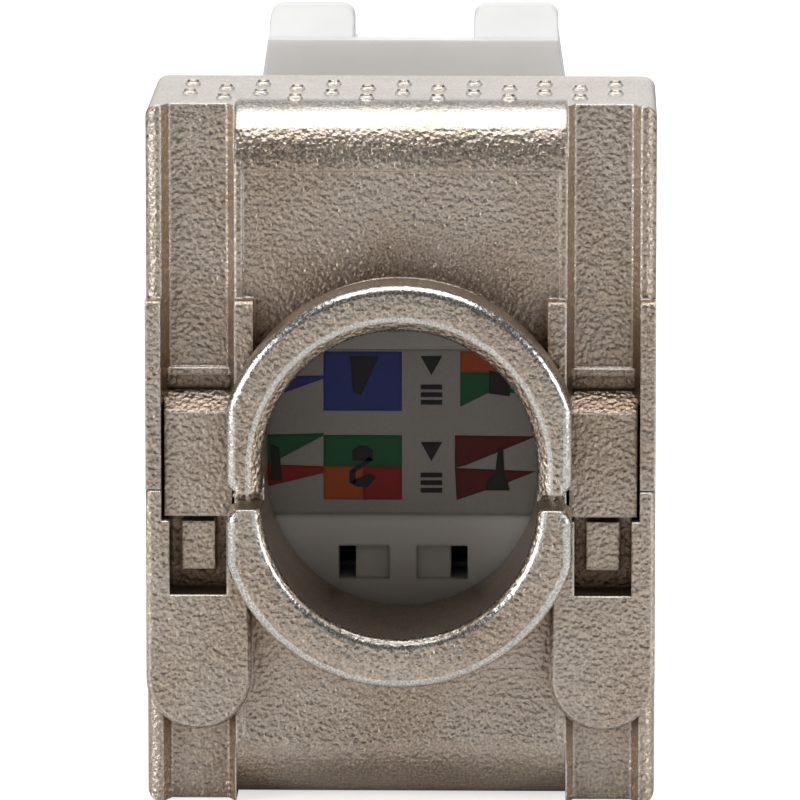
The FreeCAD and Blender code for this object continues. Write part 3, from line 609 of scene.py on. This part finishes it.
# A shut value below 1 paints shade on these pieces where they lie inside the jack.
WHITE = Moulding("white_moulding", (0.80, 0.80, 0.79), shut=0.6)
LATCH_WHITE = Moulding("latch_moulding", (0.80, 0.80, 0.795), 0.38, 0.3)
CARD = Moulding("card", (0.74, 0.73, 0.71), 0.5, shut=0.25)
BOARD = Moulding("solder_mask", (0.02, 0.16, 0.07), 0.3)


def ink_finish(ink: Ink) -> Moulding:
    """Returns the finish of a printed ink."""
    # The inks lie shut in the jack and get painted shade.
    return Moulding(f"ink_{ink.name.lower()}", ink.value, 0.45, shut=0.3)


def dress(node: str, finish: Finish) -> None:
    """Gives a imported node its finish.

    Args:
        node: The node's name.
        finish: Its finish.
    """
    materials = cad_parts[node].data.materials
    materials.clear()
    materials.append(finish.material())
    LOG.info("dressed %s", node)


@dataclass(frozen=True)
class Rounding:
    """How one chain of edges on the collar's face is rounded.

    Attributes:
        chain: The chain.
        reach_mm: How far the round takes from each face.
        segments: How many facets the round has.
        profile: Its section, where 0.5 is a quarter circle.
    """

    chain: Chain
    reach_mm: float
    segments: int
    profile: float = 0.5


@dataclass(frozen=True)
class Ledge:
    """A small ledge across a casting's face that runs out softly.

    Attributes:
        along_mm: Its place along the jack.
        height_mm: The height of its edge.
        run_mm: How far its edge moves up.
        near_mm: How near to that line a corner of the edge lies.
    """

    along_mm: float = -15.3
    height_mm: float = 2.0
    run_mm: float = 0.9
    near_mm: float = 0.01


@dataclass
class Casting:
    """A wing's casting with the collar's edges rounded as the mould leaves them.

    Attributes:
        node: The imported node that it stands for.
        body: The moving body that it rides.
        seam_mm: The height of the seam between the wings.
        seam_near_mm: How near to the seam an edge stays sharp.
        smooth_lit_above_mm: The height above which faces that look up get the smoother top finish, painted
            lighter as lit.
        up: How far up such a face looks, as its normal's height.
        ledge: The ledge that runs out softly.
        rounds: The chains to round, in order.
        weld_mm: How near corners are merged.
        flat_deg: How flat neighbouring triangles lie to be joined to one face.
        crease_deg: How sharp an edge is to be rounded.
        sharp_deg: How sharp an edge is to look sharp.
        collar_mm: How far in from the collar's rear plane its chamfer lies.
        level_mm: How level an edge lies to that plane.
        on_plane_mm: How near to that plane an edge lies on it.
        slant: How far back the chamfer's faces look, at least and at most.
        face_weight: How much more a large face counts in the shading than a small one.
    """

    node: str
    body: Body
    seam_mm: float = 10.25
    seam_near_mm: float = 0.3
    smooth_lit_above_mm: float = 21.5
    up: float = 0.6
    ledge: Ledge = Ledge()
    rounds: tuple[Rounding, ...] = (Rounding(Chain.BORDER, 0.28, 4), Rounding(Chain.MOUTH, 0.1, 3))
    weld_mm: float = 0.002
    flat_deg: float = 0.5
    crease_deg: float = 25.0
    sharp_deg: float = 28.0
    collar_mm: float = 0.45
    level_mm: float = 0.05
    on_plane_mm: float = 0.001
    slant: tuple[float, float] = (0.3, 0.9)
    face_weight: int = 100

    @staticmethod
    def _rear(shape: bmesh.types.BMesh) -> float:
        """Returns the place of the casting's rearmost corners."""
        return min(vertex.co.y for vertex in shape.verts)

    def _in_chain(self, edge: bmesh.types.BMEdge, chain: Chain, rear: float) -> bool:
        """Tells whether an edge belongs to a chain.

        Args:
            edge: The edge.
            chain: The chain.
            rear: The place of the rearmost corners.

        Returns:
            Whether it is one of the mouth's chamfer, or of the collar's outer border.
        """
        if len(edge.link_faces) != 2 or edge.calc_face_angle(0.0) < math.radians(self.crease_deg):
            return False
        depths = [vertex.co.y - rear for vertex in edge.verts]
        if max(depths) > self.collar_mm * MM or abs(depths[0] - depths[1]) > self.level_mm * MM:
            return False
        least, most = self.slant
        slanted = any(least < abs(face.normal.y) < most for face in edge.link_faces)
        if chain is Chain.MOUTH:
            return slanted
        at_seam = all(abs(vertex.co.z - self.seam_mm * MM) < self.seam_near_mm * MM for vertex in edge.verts)
        return not slanted and not at_seam and max(depths) < self.on_plane_mm * MM

    def _copy(self) -> bpy.types.Object:
        """Copies the node's mesh into a new piece and joins its loose triangles.

        Returns:
            The piece, the only one selected.
        """
        bpy.ops.object.select_all(action="DESELECT")
        piece = bpy.data.objects.new(f"{self.node}_casting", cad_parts[self.node].data.copy())
        bpy.context.scene.collection.objects.link(piece)
        bpy.context.view_layer.objects.active = piece
        piece.select_set(True)
        bpy.ops.mesh.customdata_custom_splitnormals_clear()
        with edit_mode():
            bpy.ops.mesh.select_all(action="SELECT")
            bpy.ops.mesh.remove_doubles(threshold=self.weld_mm * MM)
            bpy.ops.mesh.dissolve_limited(angle_limit=math.radians(self.flat_deg))
        piece.data.materials.clear()
        for finish in (CAST, RUBBED_SHEEN, SMOOTH):
            piece.data.materials.append(finish.material())
        return piece

    def _ease_ledge(self, shape: bmesh.types.BMesh) -> None:
        """Moves the ledge's edge up its face."""
        near = self.ledge.near_mm * MM
        for vertex in shape.verts:
            along = vertex.co.y - self.ledge.along_mm * MM
            height = vertex.co.z - self.ledge.height_mm * MM
            if abs(along) < near and abs(height) < near:
                vertex.co.z += self.ledge.run_mm * MM

    def _skin(self, shape: bmesh.types.BMesh) -> None:
        """Gives the high faces that look up the smoother top finish, painted lighter where the light falls,
        and leaves the others as they are cast.
        """
        for face in shape.faces:
            high = face.calc_center_median().z > self.smooth_lit_above_mm * MM
            face.material_index = Skin.SMOOTH if high and face.normal.z > self.up else Skin.CAST

    def _round(self, piece: bpy.types.Object, rounding: Rounding) -> None:
        """Rounds one chain of edges, with the casting in edit mode, and gives the rounds the rubbed finish,
        painted paler as a highlight.

        Args:
            piece: The casting.
            rounding: The chain and its round.
        """
        bpy.ops.mesh.select_all(action="DESELECT")
        shape = bmesh.from_edit_mesh(piece.data)
        rear = self._rear(shape)
        for edge in shape.edges:
            if self._in_chain(edge, rounding.chain, rear):
                edge.select_set(True)
        bmesh.update_edit_mesh(piece.data)
        bpy.ops.mesh.bevel(offset=rounding.reach_mm * MM, offset_type="OFFSET", segments=rounding.segments,
                           profile=rounding.profile, affect="EDGES", clamp_overlap=False,
                           material=Skin.RUBBED_SHEEN)

    def _shape(self, piece: bpy.types.Object) -> None:
        """Eases the ledge, paints the top faces lighter as lit and rounds the collar."""
        with edit_mode():
            bpy.ops.mesh.select_mode(type="EDGE")
            shape = bmesh.from_edit_mesh(piece.data)
            rear = self._rear(shape)
            self._ease_ledge(shape)
            self._skin(shape)
            for rounding in self.rounds:
                self._round(piece, rounding)
            for vertex in bmesh.from_edit_mesh(piece.data).verts:
                vertex.co.y = max(vertex.co.y, rear)
            bpy.ops.mesh.select_all(action="SELECT")
            bpy.ops.mesh.quads_convert_to_tris()

    def _shade(self, piece: bpy.types.Object) -> None:
        """Shades the casting smooth between its sharp edges, with its large faces flat."""
        bpy.ops.object.shade_smooth_by_angle(angle=math.radians(self.sharp_deg))
        weights = piece.modifiers.new("face_normals", "WEIGHTED_NORMAL")
        weights.keep_sharp = True
        weights.weight = self.face_weight
        bpy.ops.object.modifier_apply(modifier=weights.name)

    def build(self) -> None:
        """Builds the rounded casting in its node's place."""
        piece = self._copy()
        self._shape(piece)
        self._shade(piece)
        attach(piece, self.body.value)
        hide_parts(self.node)
        LOG.info("rounded %s", self.node)


@dataclass
class GripBumps:
    """The staggered rows of domed grip bumps on the upper wing's top.

    Attributes:
        radius_mm: A bump's radius.
        height_mm: How far a bump stands out.
        pitch_mm: Half the distance between neighbours in a row.
        rows_mm: Each row's place along the wing.
        columns: How many columns the two kinds of row share.
        top_mm: The height of the wing's top.
        facets: How many facets a bump has round it.
        rings: How many rings the ball that it is cut from has.
        cut_mm: How near to the cut a corner lies on it.
        sharp_deg: How sharp an edge is to look sharp.
    """

    radius_mm: float = 0.26
    height_mm: float = 0.15
    pitch_mm: float = 1.14
    rows_mm: tuple[float, ...] = (-13.5, -12.35, -11.2, -10.05)
    columns: int = 13
    top_mm: float = 22.6
    facets: int = 16
    rings: int = 12
    cut_mm: float = 0.0001
    sharp_deg: float = 50.0

    def _dome(self) -> bpy.types.Object:
        """Models one dome at the origin: a ball cut at its skirt and pressed flat."""
        middle = (0.0, 0.0, 0.0)
        bpy.ops.object.select_all(action="DESELECT")
        bpy.ops.mesh.primitive_uv_sphere_add(segments=self.facets, ring_count=self.rings,
                                             radius=self.radius_mm * MM)
        with edit_mode():
            bpy.ops.mesh.select_all(action="SELECT")
            bpy.ops.mesh.bisect(plane_co=middle, plane_no=(0.0, 0.0, 1.0), clear_inner=True,
                                use_fill=True, threshold=self.cut_mm * MM)
            bpy.ops.mesh.select_all(action="SELECT")
            bpy.ops.transform.resize(value=(1.0, 1.0, self.height_mm / self.radius_mm),
                                     center_override=middle)
            bpy.ops.mesh.normals_make_consistent(inside=False)
        bpy.ops.object.shade_smooth_by_angle(angle=math.radians(self.sharp_deg))
        return bpy.context.object

    def _places(self) -> Iterator[tuple[str, Vector]]:
        """Gives each bump's name and its place on the wing, row by row."""
        for row, along in enumerate(self.rows_mm):
            count = self.columns // 2 + row % 2
            for number in range(count):
                across = (2 * number - (count - 1)) * self.pitch_mm
                yield f"grip_bump_{row + 1}_{number + 1}", Vector((across, along, self.top_mm)) * MM

    def _set(self, pattern: bpy.types.Mesh, name: str, place: Vector) -> None:
        """Sets one bump on the wing.

        Args:
            pattern: The dome's mesh, of which the bump gets a copy.
            name: The bump's name.
            place: Where it stands.
        """
        bump = bpy.data.objects.new(name, pattern.copy())
        bpy.context.scene.collection.objects.link(bump)
        for vertex in bump.data.vertices:
            vertex.co += place
        # The bumps get the pale nickel, a painted highlight.
        bump.data.materials.append(BUMP_HIGHLIGHT.material())
        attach(bump, Body.UPPER_WING.value)

    def build(self) -> None:
        """Models one dome, sets a copy of it at every place and clears the first away."""
        pattern = self._dome().data
        for name, place in self._places():
            self._set(pattern, name, place)
            LOG.info("set %s", name)
        bpy.data.meshes.remove(pattern)


@dataclass
class Metalwork:
    """The castings, pins and springs of the shield.

    Attributes:
        pins: The hinge pins' nodes.
        springs: The shield springs' nodes.
    """

    pins: tuple[str, ...] = ("upper_hinge_pin", "lower_hinge_pin")
    springs: tuple[str, ...] = ("shield_spring_left", "shield_spring_right")

    def build(self) -> None:
        """Builds and dresses every metal piece of the shield."""
        dress("front_housing", CAST)
        Casting("upper_wing", Body.UPPER_WING).build()
        Casting("lower_wing", Body.LOWER_WING).build()
        GripBumps().build()
        for name in self.pins:
            dress(name, PIN_STEEL)
        for name in self.springs:
            dress(name, SPRING_STEEL)


@dataclass
class Insides:
    """The mouldings, the board and the contacts.

    Attributes:
        mouldings: The nodes of white plastic.
        contacts: How many contacts each end has.
    """

    mouldings: tuple[str, ...] = ("contact_carrier", "idc_block", "wire_cap")
    contacts: int = 8

    def build(self) -> None:
        """Dresses every inner piece."""
        for name in self.mouldings:
            dress(name, WHITE)
        dress("panel_latch", LATCH_WHITE)
        dress("circuit_board", BOARD)
        dress("wiring_label", CARD)
        for number in range(1, self.contacts + 1):
            dress(f"jack_contact_{number}", GOLD)
            dress(f"idc_contact_{number}", TIN)


def box(left: float, right: float, low: float, high: float) -> Outline:
    """Returns the corners of an upright box."""
    return [(left, low), (right, low), (right, high), (left, high)]


def lifted(foot: float, *points: tuple[float, float]) -> Outline:
    """Returns an outline whose heights are counted from a foot."""
    return [(across, foot + up) for across, up in points]


@dataclass
class WiringCard:
    """The colour fields printed on the wiring card, two rows of wedges, blocks and plain marks.

    Every size is in millimetres, across from the card's middle and up from its lower edge.

    Attributes:
        ink_mm: The thickness of one layer of ink.
        row_one: The foot of the upper row.
        row_two: The foot of the lower row.
        block: The left and right edges of the coloured blocks.
        marks: The left and right edges of the column of marks.
        outer: How far the outermost fields reach to the left and right.
        wedge_tall: The height of the wedges in that column.
        bars_each: How many bars each row has in it.
        bar_tall: The height of one bar.
        bar_pitch: The distance from one bar to the next.
        low: The low corner of the card's box, in metres.
        count: How many fields are printed so far.
    """

    ink_mm: float = 0.012
    row_one: float = 3.44
    row_two: float = 0.52
    block: tuple[float, float] = (-2.58, -0.04)
    marks: tuple[float, float] = (0.57, 1.26)
    outer: tuple[float, float] = (-4.5, 4.3)
    wedge_tall: float = 0.62
    bars_each: int = 3
    bar_tall: float = 0.15
    bar_pitch: float = 0.25
    low: Vector = field(default_factory=lambda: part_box("wiring_label")[0])
    count: int = 0

    def print_field(self, ink: Ink, outline: Outline, layer: Layer = Layer.FIELD) -> None:
        """Prints one flat field of ink.

        Args:
            ink: Its ink.
            outline: Its corners.
            layer: The layer of ink that it is.
        """
        self.count += 1
        bpy.ops.object.select_all(action="DESELECT")
        bpy.ops.mesh.primitive_circle_add(vertices=len(outline), radius=MM, fill_type="NGON")
        piece = bpy.context.object
        piece.name = f"card_ink_{self.count}"
        plane = self.low.y - self.ink_mm * MM * layer
        for vertex, (across, up) in zip(piece.data.vertices, outline):
            vertex.co = Vector((across * MM, plane, self.low.z + up * MM))
        with edit_mode():
            bpy.ops.mesh.select_all(action="SELECT")
            bpy.ops.mesh.extrude_region_move(TRANSFORM_OT_translate={"value": (0.0, self.ink_mm * MM, 0.0)})
            bpy.ops.mesh.select_all(action="SELECT")
            bpy.ops.mesh.normals_make_consistent(inside=False)
        piece.data.materials.append(ink_finish(ink).material())
        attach(piece, Body.HOUSING.value)
        LOG.info("printed %s in %s", piece.name, ink.name.lower())

    def mark(self, outline: Outline) -> None:
        """Prints one dark mark on top of the fields."""
        self.print_field(Ink.BLACK, outline, Layer.MARK)

    def wedge(self, foot: float) -> None:
        """Prints a solid wedge that points down to a foot."""
        left, right = self.marks
        top = foot + self.wedge_tall
        self.mark([((left + right) / 2, foot), (right, top), (left, top)])

    def bars(self, foot: float) -> None:
        """Prints short bars, one above the other, from a foot up."""
        left, right = self.marks
        for step in range(self.bars_each):
            low = foot + self.bar_pitch * step
            self.mark(box(left, right, low, low + self.bar_tall))

    def upper_row(self) -> None:
        """Prints the upper row: a blue block, the marks, and the orange and green blocks."""
        (far_left, far_right), (left, right), foot = self.outer, self.block, self.row_one
        self.print_field(Ink.BLUE, box(left, right, foot, foot + 1.94))
        self.mark(lifted(foot, (-1.62, 0.60), (-1.36, 0.52), (-0.79, 1.78), (-1.72, 1.80)))
        self.print_field(Ink.BLUE, lifted(foot, (far_left, 0.35), (left, 1.05), (left, 1.15),
                                          (far_left, 1.12)))
        self.wedge(foot + 1.18)
        self.bars(foot + 0.21)
        self.print_field(Ink.ORANGE, box(1.85, far_right, foot + 1.28, foot + 1.96))
        self.print_field(Ink.GREEN, lifted(foot, (1.85, 0.14), (2.75, 0.60), (far_right, 0.60),
                                           (far_right, 1.28), (1.85, 1.28)))
        self.mark(lifted(foot, (2.78, 0.58), (3.45, 0.50), (3.45, 0.78), (3.18, 1.24), (2.78, 1.34)))

    def lower_row(self) -> None:
        """Prints the lower row: green over orange blocks, the marks, and the maroon wedges."""
        (far_left, far_right), (left, right), foot = self.outer, self.block, self.row_two
        parting, top, middle = foot + 1.09, foot + 2.12, -1.3
        self.print_field(Ink.GREEN, lifted(top, (far_left, -1.05), (left, -0.02), (left, 0.06),
                                           (far_left, 0.0)))
        self.mark(lifted(foot, (-4.28, 0.62), (-3.92, 0.62), (-4.02, 1.72), (-4.3, 1.8)))
        self.print_field(Ink.RED, [(-4.4, foot + 0.42), (left, parting - 0.22), (left, parting),
                                   (-4.4, parting + 0.06)])
        self.print_field(Ink.GREEN, box(left, right, parting, top))
        self.print_field(Ink.ORANGE, box(left, middle, foot, parting))
        self.print_field(Ink.RED, box(middle, right, foot, parting))
        self.digit_two(-1.74, foot + 0.42)
        self.wedge(foot + 1.28)
        self.bars(foot + 0.24)
        self.print_field(Ink.MAROON, lifted(foot, (1.68, 1.05), (2.06, 1.15), (far_right, 2.1),
                                            (1.68, 2.12)))
        self.print_field(Ink.MAROON, lifted(foot, (1.74, 0.0), (3.2, 0.5), (far_right, 0.95),
                                            (1.68, 1.05)))
        self.mark(lifted(foot, (2.66, 0.32), (3.45, 0.32), (3.36, 0.72), (3.28, 0.82), (3.24, 1.74),
                         (3.08, 1.70), (2.98, 0.86), (2.72, 0.66)))

    def digit_two(self, left: float, foot: float) -> None:
        """Prints a plain digit, head down, from four strokes.

        Args:
            left: Its left edge.
            foot: Its lower edge.
        """
        bar = 0.2
        right, top = left + 0.86, foot + 1.36
        self.mark([(left + 0.06, foot + 0.1), (left + 0.26, foot), (right - 0.26, foot),
                   (right, foot + 0.34), (right - 0.2, foot + 0.44), (left + 0.16, foot + 0.24)])
        self.mark([(left, foot + 0.52), (left + bar, foot + 0.5), (right - bar * 0.5, top - 0.5),
                   (right - bar, top - 0.36)])
        self.mark(box(left, left + bar, foot + 0.12, foot + 0.52))
        self.mark([(left + 0.1, top - 0.5), (right - 0.1, top - 0.5), (right - 0.1, top - 0.16),
                   (right - 0.3, top), (left + 0.3, top), (left + 0.1, top - 0.16)])

    def build(self) -> None:
        """Prints the painted shade sheet and both rows."""
        self.print_field(Ink.SHADE_SHEET, box(-5.3, 5.3, 0.04, 5.46), Layer.SHADE_SHEET)
        self.upper_row()
        self.lower_row()


@dataclass(frozen=True)
class Lamp:
    """A soft lamp with a rectangular face.

    Attributes:
        name: Its name.
        place: Where it stands, in metres.
        size: Its width and height, in metres.
        radiance: How bright its face is.
    """

    name: str
    place: tuple[float, float, float]
    size: tuple[float, float]
    radiance: float

    def build(self, aim: tuple[float, float, float]) -> None:
        """Hangs the lamp and points it.

        Args:
            aim: The point that it shines at, in metres.
        """
        width, height = self.size
        data = bpy.data.lights.new(self.name, "AREA")
        data.shape = "RECTANGLE"
        data.size, data.size_y = width, height
        data.energy = self.radiance * math.pi * width * height
        lamp = bpy.data.objects.new(self.name, data)
        bpy.context.scene.collection.objects.link(lamp)
        lamp.location = self.place
        lamp.rotation_euler = (Vector(aim) - Vector(self.place)).to_track_quat("-Z", "Y").to_euler()


@dataclass
class Studio:
    """The floor, the lights and the camera.

    Attributes:
        distance: The camera's distance, in metres.
        elevation: The camera's height angle, in degrees.
        azimuth: The camera's angle round the jack, in degrees.
        aim: The point at the picture's middle, in metres.
        lens: The camera's focal length on its sensor, in millimetres.
        sensor: The sensor's width, in millimetres.
        clip: The nearest and the farthest that the camera sees, in metres.
        floor_wide: The floor's width, in metres.
        floor_grey: The floor's colour.
        floor_rough: The floor's roughness.
        floor_glow: How much of its own light the camera sees on the floor.
        room: How strongly the room lights the jack, where a strength of 1 is white.
        lamps: The lamps.
    """

    distance: float = 0.286
    elevation: float = 9.4
    azimuth: float = 1.21
    aim: tuple[float, float, float] = (-0.00035, 0.0, 0.01058)
    lens: float = 380.7
    sensor: float = 36.0
    clip: tuple[float, float] = (0.01, 20.0)
    floor_wide: float = 6.0
    floor_grey: Colour = (0.75, 0.75, 0.75)
    floor_rough: float = 0.9
    floor_glow: float = 0.65
    room: float = 0.11
    lamps: tuple[Lamp, ...] = (
        Lamp("overhead", (0.0, -0.02, 0.42), (0.42, 0.34), 3.6),
        Lamp("back", (0.0, 0.55, 0.2), (0.7, 0.3), 1.2),
        Lamp("left", (-0.38, -0.24, 0.12), (0.22, 0.22), 5.8),
        Lamp("right", (0.40, -0.22, 0.12), (0.22, 0.22), 3.8),
    )

    def camera(self) -> None:
        """Places the camera a little above the jack, facing its cable end."""
        data = bpy.data.cameras.new("view")
        data.lens = self.lens
        data.sensor_width = self.sensor
        data.clip_start, data.clip_end = self.clip
        camera = bpy.data.objects.new("view", data)
        bpy.context.scene.collection.objects.link(camera)
        turn, rise = math.radians(self.azimuth), math.radians(self.elevation)
        away = Vector((math.sin(turn) * math.cos(rise), -math.cos(turn) * math.cos(rise), math.sin(rise)))
        camera.location = Vector(self.aim) + away * self.distance
        camera.rotation_euler = (-away).to_track_quat("-Z", "Y").to_euler()
        bpy.context.scene.camera = camera

    def floor(self) -> None:
        """Lays a pale floor that the camera sees as white."""
        bpy.ops.object.select_all(action="DESELECT")
        bpy.ops.mesh.primitive_plane_add(size=self.floor_wide, location=(0.0, 0.0, 0.0))
        floor = bpy.context.object
        floor.name = "studio_floor"
        material = bpy.data.materials.new("studio_floor")
        material.use_nodes = True
        graph = Graph(material.node_tree)
        graph.fill(material.node_tree.nodes["Principled BSDF"], Base_Color=linear(self.floor_grey),
                   Roughness=self.floor_rough, Emission_Color=linear((1.0, 1.0, 1.0)),
                   Emission_Strength=graph.maths("MULTIPLY", graph.seen(), self.floor_glow))
        floor.data.materials.append(material)

    def world(self) -> None:
        """Lights the room evenly and shows it white to the camera."""
        world = bpy.data.worlds.new("studio")
        bpy.context.scene.world = world
        world.use_nodes = True
        graph = Graph(world.node_tree)
        graph.fill(world.node_tree.nodes["Background"], Color=linear((1.0, 1.0, 1.0)),
                   Strength=graph.grow(self.room, graph.seen(), 1.0 - self.room))

    def build(self) -> None:
        """Sets up the whole studio."""
        self.camera()
        self.floor()
        self.world()
        for lamp in self.lamps:
            lamp.build(self.aim)
        bpy.context.scene.view_settings.view_transform = "Standard"
        LOG.info("set up the studio")


def main() -> None:
    """Builds the jack's dressing in order."""
    logging.basicConfig(level=logging.INFO, format="%(message)s")
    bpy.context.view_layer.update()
    for assembly in (Metalwork(), Insides(), WiringCard(), Studio()):
        assembly.build()


if __name__ == "__main__":
    main()
